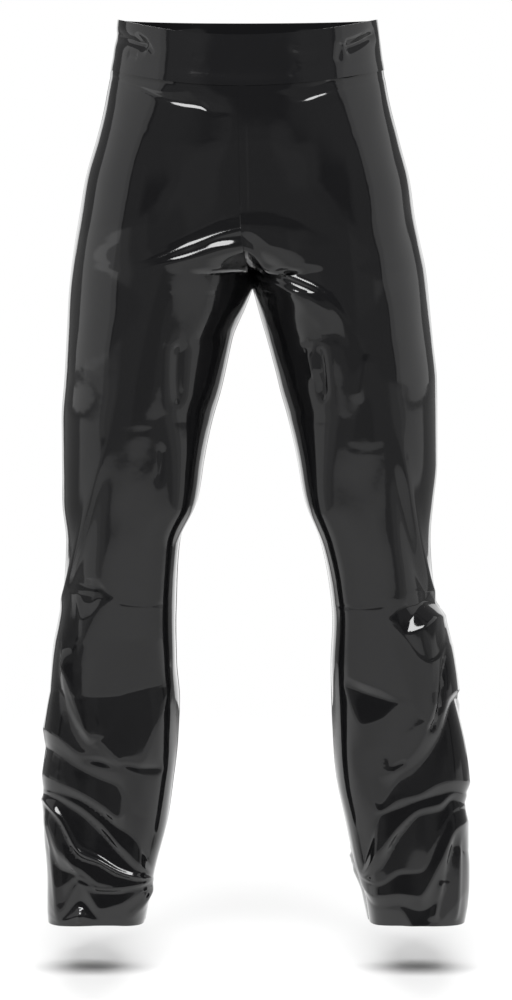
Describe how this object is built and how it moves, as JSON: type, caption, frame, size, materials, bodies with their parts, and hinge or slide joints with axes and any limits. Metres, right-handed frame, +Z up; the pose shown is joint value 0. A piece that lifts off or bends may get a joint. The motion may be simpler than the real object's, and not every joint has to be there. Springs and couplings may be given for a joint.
{
  "type": "latex trousers",
  "caption": "Close-fitting glossy black latex trousers, worn and hollow, with a wide plain waistband, seamed legs and gathered folds above raw hems.",
  "frame": {"origin": "middle of the waist opening, level with the top edge at the sides", "axes": "+Z up the body towards the waist, -Y the front, +X to the left of the person who wears it"},
  "size_m": [0.491, 0.2464, 1.031],
  "materials": {
    "waistband_latex": "gloss",
    "panel_latex": "gloss"
  },
  "bodies": {
    "root": {"waistband": "waistband_latex", "front_left_panel": "panel_latex", "front_right_panel": "panel_latex", "back_left_panel": "panel_latex", "back_right_panel": "panel_latex"}
  },
  "joints": []
}
